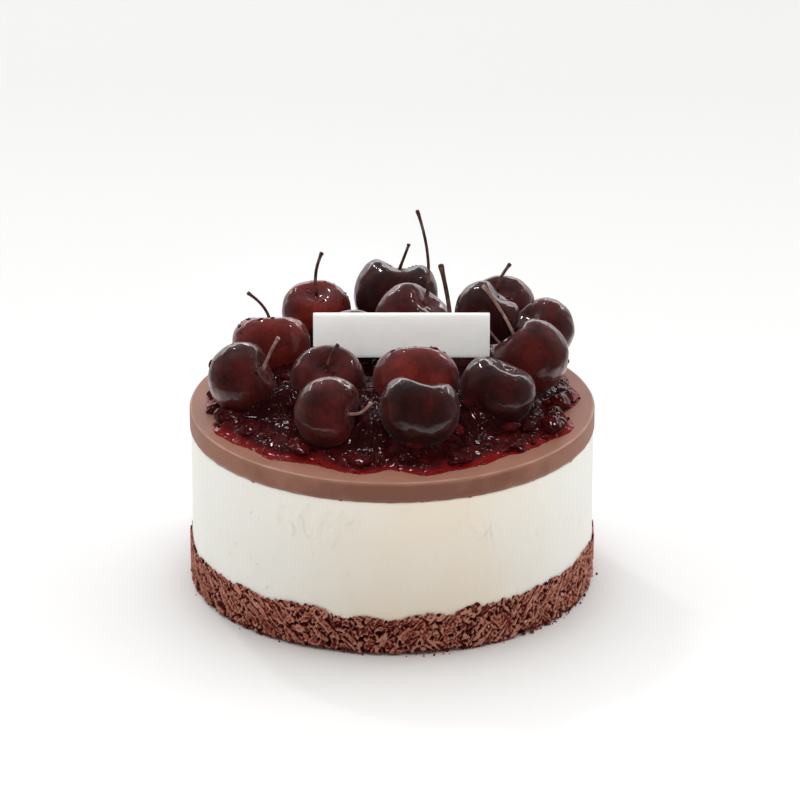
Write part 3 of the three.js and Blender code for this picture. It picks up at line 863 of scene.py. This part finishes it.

# %% [markdown]
# The chopped fruit lies in the jelly as soft lumps a few millimetres long. The ones that stand out of
# the thin syrup at the edge are listed one by one, and the rest are drawn at random, most of them near
# the edge.

# %% The chopped fruit
# Each has its angle in degrees, its distance from the edge and its three half sizes in millimetres
EDGE_FRUIT = [
    (86, 4.2, 5.0, 3.4, 2.6), (64, 4.2, 4.6, 3.2, 2.6), (-70, 5.5, 5.4, 3.8, 2.8), (-58, 8, 5.0, 3.6, 2.6),
    (-117, 3.6, 4.4, 3.0, 2.6), (117, 3.6, 4.4, 3.0, 2.6), (23, 3.6, 4.6, 2.4, 1.6),
    (47, 2.2, 3.2, 1.6, 1.2), (-34, 6, 5.2, 3.2, 2.0), (-12, 5, 4.6, 3.0, 1.8)]
MORE_FRUIT = 95
dice = random.Random(11)
fruit = []
for turn, inset, *halves in EDGE_FRUIT:
    fruit.append((jelly_at(turn, inset), halves, (0, 0, dice.uniform(0, math.pi))))
for _ in range(MORE_FRUIT):
    size = dice.uniform(1.1, 3.4)
    place = jelly_at(dice.uniform(-180, 180), 1.5 + 22 * dice.random() ** 1.5)
    halves = (size, size * dice.uniform(0.55, 0.9), size * dice.uniform(0.35, 0.6))
    tilt = (dice.uniform(-0.4, 0.4), dice.uniform(-0.4, 0.4), dice.uniform(0, math.pi))
    fruit.append((place, halves, tilt))
chopped = lumps("compote_fruit", 4, fruit, 0.2, red=[dice.uniform(0, 0.3) for _ in fruit])
dress(chopped, compote, "compote")
wet_things.objects.link(chopped)

# %% [markdown]
# The cherries keep the places and the heart shape of their solids. A solid's mesh is loose triangles, so
# a copy is merged into quads first, and a subdivision surface then rounds it.

# %% Helpers for copies of the solids
def copy_of(node):
    """A bmesh of a solid's mesh, with its loose triangles merged into one skin of quads."""
    form = bmesh.new()
    form.from_mesh(nodes[node].data)
    bmesh.ops.remove_doubles(form, verts=form.verts, dist=1e-6)
    wide = math.radians(60)
    bmesh.ops.join_triangles(form, faces=form.faces, angle_face_threshold=wide, angle_shape_threshold=wide)
    return form


def rounded(piece, levels):
    """Replaces a piece's mesh by its own subdivision surface."""
    smooth = piece.modifiers.new("round", "SUBSURF")
    smooth.levels = levels
    smooth.render_levels = levels
    view = bpy.context.evaluated_depsgraph_get()
    fine = bpy.data.meshes.new_from_object(piece.evaluated_get(view))
    piece.modifiers.clear()
    piece.data = fine
    for face in fine.polygons:
        face.use_smooth = True


def normals_of(mesh):
    """The direction that each point of the mesh faces."""
    flat = np.empty(len(mesh.vertices) * 3)
    mesh.vertices.foreach_get("normal", flat)
    return flat.reshape(-1, 3)


print("copy helpers ready")

# %% [markdown]
# A dipped cherry wears a film of glaze that is thicker in some places, so that its reflections wander.
# The film is real shape. The skin below is dark and mottled, and three finishes, from nearly black to
# red, are shared out, because no two cherries are equally ripe. A trace of sheen pales the rims.

# %% The cherries
FILM = 0.35
FILM_SEED = 50


def glazed_cherry(name, seed):
    """One cherry: the rounded form of its solid under an uneven film of glaze."""
    piece = new_piece("glazed_" + name, copy_of(name))
    rounded(piece, 3)
    points = points_of(piece.data)
    film = FILM + 0.26 * soft_noise(points, 6, seed) + 0.17 * soft_noise(points, 2.6, seed + 0.5)
    swollen = points + normals_of(piece.data) * film[:, None]
    piece.data.vertices.foreach_set("co", (swollen * MM).ravel())
    piece.data.update()
    return piece


def cherry_finish(name, dark, skin, glow):
    """Dark cherry skin under clear glaze, mottled from dark to bright."""
    material, tree, shader = new_finish(name, {
        "Roughness": 0.4, "Specular IOR Level": 0.1,
        "Coat Weight": 1.0, "Coat Roughness": 0.025, "Coat IOR": 1.38,
        "Sheen Weight": 0.045, "Sheen Roughness": 0.45, "Sheen Tint": (1, 0.85, 0.85, 1)})
    broad = weighted(tree, object_noise(tree, 8, 4), 0.8, -0.08)
    mottle = weighted(tree, object_noise(tree, 1.3, 4), 0.35, broad)
    paint(tree, shader, mottle, [(0.3, dark), (0.5, skin), (0.72, glow)])
    relief(tree, shader, object_noise(tree, 1.1, 3), 0.1, 0.4)
    relief(tree, shader, object_noise(tree, 2.8, 3), 0.3, 0.35, "Coat Normal")
    return material


ripe = cherry_finish("ripe_cherry", "1c0707", "2b0b0b", "451211")
wine = cherry_finish("wine_cherry", "290a0a", "401211", "5a1916")
bright = cherry_finish("red_cherry", "3d100f", "5a1915", "74241a")
skins = dict.fromkeys(cherry_names, wine)
skins.update({f"cherry_{number}": ripe for number in (3, 5, 9, 10, 15)})
skins.update({f"cherry_{number}": bright for number in (1, 2, 11)})
cherries = {}
for name in cherry_names:
    cherries[name] = glazed_cherry(name, FILM_SEED + cherry_number(name))
    dress(cherries[name], skins[name], "cherry", name)

# %% [markdown]
# Glaze drags small bits of fruit and drops of syrup along. Most are under a millimetre: too small to see
# one by one, but each carries its own glint, and together they make the heap look wet. A drop is a lump
# pressed flat against the skin, at one of the points that face a chosen way.

# %% Helpers for drops
def facing_points(name, toward, least):
    """The points of a cherry that face a direction."""
    shares = normals_of(cherries[name].data) @ np.array(Vector(toward).normalized())
    return np.nonzero(shares > least)[0].tolist()


def add_drops(heap, name, choice, count, size):
    """Drops on one cherry, at some of the points to choose from, each pressed flat against the skin."""
    facing = normals_of(cherries[name].data)
    points = points_of(cherries[name].data)
    for index in dice.sample(choice, min(count, len(choice))):
        half = size * dice.uniform(0.4, 1.2)
        halves = (half, half * dice.uniform(0.5, 1), half * dice.uniform(0.35, 0.7))
        heap.append((points[index], halves, Vector(facing[index]).to_track_quat("Z", "X").to_euler()))


print("crown of the first cherry:", len(facing_points("cherry_1", (0, 0, 1), 0.9)), "points")

# %% [markdown]
# A few larger shreds sit on some cherries and have the colour of the jelly. The small drops on a cherry
# take the colour of its skin, because clear glaze shows what lies under it, and more of them gather in
# the dimple round a stem.

# %% Drops and shreds on the cherries
# Each has its cherry, the side of it that the shreds sit on, how many they are and their half size
SHREDS = [
    (1, (-0.55, -0.2, 0.8), 7, 0.9), (1, (0.1, 0.3, 0.95), 4, 0.7), (11, (-0.1, 0.3, 0.95), 4, 0.8),
    (11, (0.5, 0.3, 0.8), 4, 1.1), (10, (0.1, 0.3, 0.95), 6, 0.6), (2, (0.8, -0.1, 0.6), 5, 0.6),
    (13, (-0.6, 0.1, 0.8), 6, 0.6), (14, (0.7, -0.2, 0.6), 6, 0.6), (9, (-0.2, 0.3, 0.9), 6, 0.6),
    (12, (0.6, -0.5, 0.6), 5, 0.5), (6, (-0.5, -0.4, 0.7), 4, 0.6), (7, (-0.6, -0.4, 0.6), 5, 0.6),
    (14, (-0.75, 0.4, 0.45), 2, 1.6), (8, (0.95, 0.15, 0.05), 2, 1.2)]
DIMPLE = 5.5
drops = []
for number, toward, count, size in SHREDS:
    name = f"cherry_{number}"
    add_drops(drops, name, facing_points(name, toward, 0.9), count, size)

skin_drops = {ripe: [], wine: [], bright: []}
for name in cherry_names:
    own_drops = skin_drops[skins[name]]
    add_drops(own_drops, name, facing_points(name, (0, -0.4, 0.8), 0.1), 9, 0.45)
    stem_name = name.replace("cherry", "stem")
    if stem_name in nodes:
        stem_points = points_of(nodes[stem_name].data)
        off_middle = np.linalg.norm(stem_points - np.array(cherry_places[name][0]), axis=1)
        stem_foot = stem_points[np.argmin(off_middle)]
        apart = np.linalg.norm(points_of(cherries[name].data) - stem_foot, axis=1)
        add_drops(own_drops, name, np.nonzero(apart < DIMPLE)[0].tolist(), 12, 0.6)
for skin, own_drops in skin_drops.items():
    dress(lumps("skin_drops_" + skin.name, 2, own_drops, 0.25), skin, "cherry")

# %% [markdown]
# The last drops lie on the jelly itself, most of them near its edge. With the shreds they make one piece in
# the jelly's finish.

# %% Drops on the jelly
JELLY_DROPS = 240
for _ in range(JELLY_DROPS):
    half = 0.25 + 0.55 * dice.random() ** 2
    halves = (half, half * dice.uniform(0.5, 1), half * 0.6)
    place = jelly_at(dice.uniform(-180, 180), 0.4 + 26 * dice.random() ** 1.6)
    drops.append((place, halves, any_turn(dice)))
glaze = lumps("glaze_drops", 2, drops, 0.25, red=[dice.uniform(0, 0.45) for _ in drops])
dress(glaze, compote, "compote")
wet_things.objects.link(glaze)

# %% [markdown]
# A cherry stem is a thin woody rod, wider at its foot and with a small knob where it left the twig. The
# solids have six sides, so a copy is rounded the same way, after a push outwards that makes up for what
# rounding takes. The foot is pulled into its cherry, so that no gap shows under the film of glaze.

# %% The stems
STEM_SWELL = 0.09
STEM_SINK = 1.6
STEM_FOOT = 0.9
TAN_STEMS = {"stem_8", "stem_12", "stem_14", "loose_stem"}


def stem_finish(name, dark, middle, light):
    """Dry stem: light where it is clean, dark in streaks."""
    material, tree, shader = new_finish(name, {"Roughness": 0.45, "Specular IOR Level": 0.3})
    paint(tree, shader, object_noise(tree, 2.6, 4), [(0.3, dark), (0.5, middle), (0.7, light)])
    relief(tree, shader, object_noise(tree, 0.5, 3), 0.08, 0.6)
    return material


def stem_form(name):
    """A stem's swollen copy, with its foot sunk into the cherry that carries it."""
    form = copy_of(name)
    form.normal_update()
    for vert in form.verts:
        vert.co += vert.normal * STEM_SWELL * MM
    carrier = cherry_places.get(name.replace("stem", "cherry"))
    if carrier:
        middle = carrier[0]
        foot = min(form.verts, key=lambda v: (v.co / MM - middle).length)
        sunk = (middle * MM - foot.co).normalized() * STEM_SINK * MM
        for vert in [v for v in form.verts if (v.co - foot.co).length < STEM_FOOT * MM]:
            vert.co += sunk
    return form


brown_stem = stem_finish("brown_stem", "2b1513", "4d2d28", "7a564c")
tan_stem = stem_finish("tan_stem", "6b4841", "94716a", "b79a92")
for name in sorted(n for n in nodes if "stem" in n):
    stem = new_piece("cherry_" + name, stem_form(name))
    rounded(stem, 2)
    dress(stem, tan_stem if name in TAN_STEMS else brown_stem, "stem", name)

# %% [markdown]
# The plaque is a thin, plain plate of white chocolate that leans back a little. It is a box with
# softened edges, set into the corner of its solid's box. White chocolate lets light in, so its finish
# has a good deal of subsurface.

# %% The plaque
PLAQUE_SIZE = (56.5, 2.0, 14.5)
PLAQUE_LEAN = math.radians(-8)
PLAQUE_EDGE = 0.35
plaque_form = bmesh.new()
bmesh.ops.create_cube(plaque_form, size=1)
bmesh.ops.scale(plaque_form, verts=plaque_form.verts, vec=[v * MM for v in PLAQUE_SIZE])
bmesh.ops.bevel(
    plaque_form, geom=plaque_form.edges[:], offset=PLAQUE_EDGE * MM, offset_type="OFFSET", segments=3,
    profile=0.5, affect="EDGES", material=-1)
long_edges = [e for e in plaque_form.edges if e.calc_length() > 8 * MM]
bmesh.ops.subdivide_edges(plaque_form, edges=long_edges, cuts=18, use_grid_fill=True)
to_corner = (0, PLAQUE_SIZE[1] / 2 * MM, PLAQUE_SIZE[2] / 2 * MM)
bmesh.ops.translate(plaque_form, verts=plaque_form.verts, vec=to_corner)
lean = Matrix.Rotation(PLAQUE_LEAN, 3, "X")
bmesh.ops.rotate(plaque_form, verts=plaque_form.verts, cent=(0, 0, 0), matrix=lean)
plate_low = Vector([min(v.co[k] for v in plaque_form.verts) for k in range(3)])
bmesh.ops.translate(plaque_form, verts=plaque_form.verts, vec=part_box("plaque")[0] - plate_low)
plaque = new_piece("plaque_plate", plaque_form)


def plaque_finish():
    """White chocolate: pale, softly glossy, a little cloudy, and thin enough to let light through."""
    material, tree, shader = new_finish("white_chocolate", {
        "Roughness": 0.4, "Specular IOR Level": 0.3, "Subsurface Weight": 0.8, "Subsurface Scale": 3 * MM,
        "Subsurface Radius": (1, 0.95, 0.9)})
    paint(tree, shader, object_noise(tree, 6, 4), [(0.3, "f3f2f0"), (0.7, "f8f7f5")])
    relief(tree, shader, object_noise(tree, 4, 3), 0.12, 0.3)
    return material


dress(plaque, plaque_finish(), "plaque", "plaque")

# %% [markdown]
# A cut cake sheds crumbs. Some stick to the foot of the base and some lie just beside it, more of them
# on the right; a few pale specks of nut sit in the base itself. They are lumps again.

# %% Loose crumbs and specks
CRUMBS = 170
SPECKS = 34


def beside_base(angle, away, up):
    """A place by the base's side, from its angle in degrees, its distance from the wall and its height."""
    turn = math.radians(angle)
    return np.array((math.sin(turn) * (CAKE_RADIUS + away), -math.cos(turn) * (CAKE_RADIUS + away), up))


def nut_finish():
    """Pale bits of nut."""
    material, tree, shader = new_finish("nut_speck", {"Roughness": 0.6, "Specular IOR Level": 0.3})
    paint(tree, shader, object_noise(tree, 1, 3), [(0.3, "c9a99a"), (0.7, "e2cdc0")])
    return material


shed = []
for _ in range(CRUMBS):
    half = 0.22 + 0.6 * dice.random() ** 3
    angle = dice.choice((dice.uniform(-180, 180), dice.gauss(60, 35)))
    away = -0.5 + 2.2 * dice.random() ** 3
    shed.append((beside_base(angle, away, half * 0.7), (half, half * 0.8, half * 0.7), any_turn(dice)))
# Each loose crumb gets a random tone in the same value that carries painted shade on the base.
loose = lumps("loose_crumbs", 2, shed, 0.35, hollow=[dice.uniform(0.1, 0.55) for _ in shed])
dress(loose, crumb, "crumb")

specks = []
for _ in range(SPECKS):
    half = dice.uniform(0.28, 0.5)
    place = beside_base(dice.uniform(-180, 180), dice.uniform(-0.7, 0.0), dice.uniform(2, 10))
    specks.append((place, (half, half * 0.7, half), any_turn(dice)))
dress(lumps("nut_specks", 2, specks, 0.3), nut_finish(), "crumb")

# %% Update the scene
bpy.context.view_layer.update()
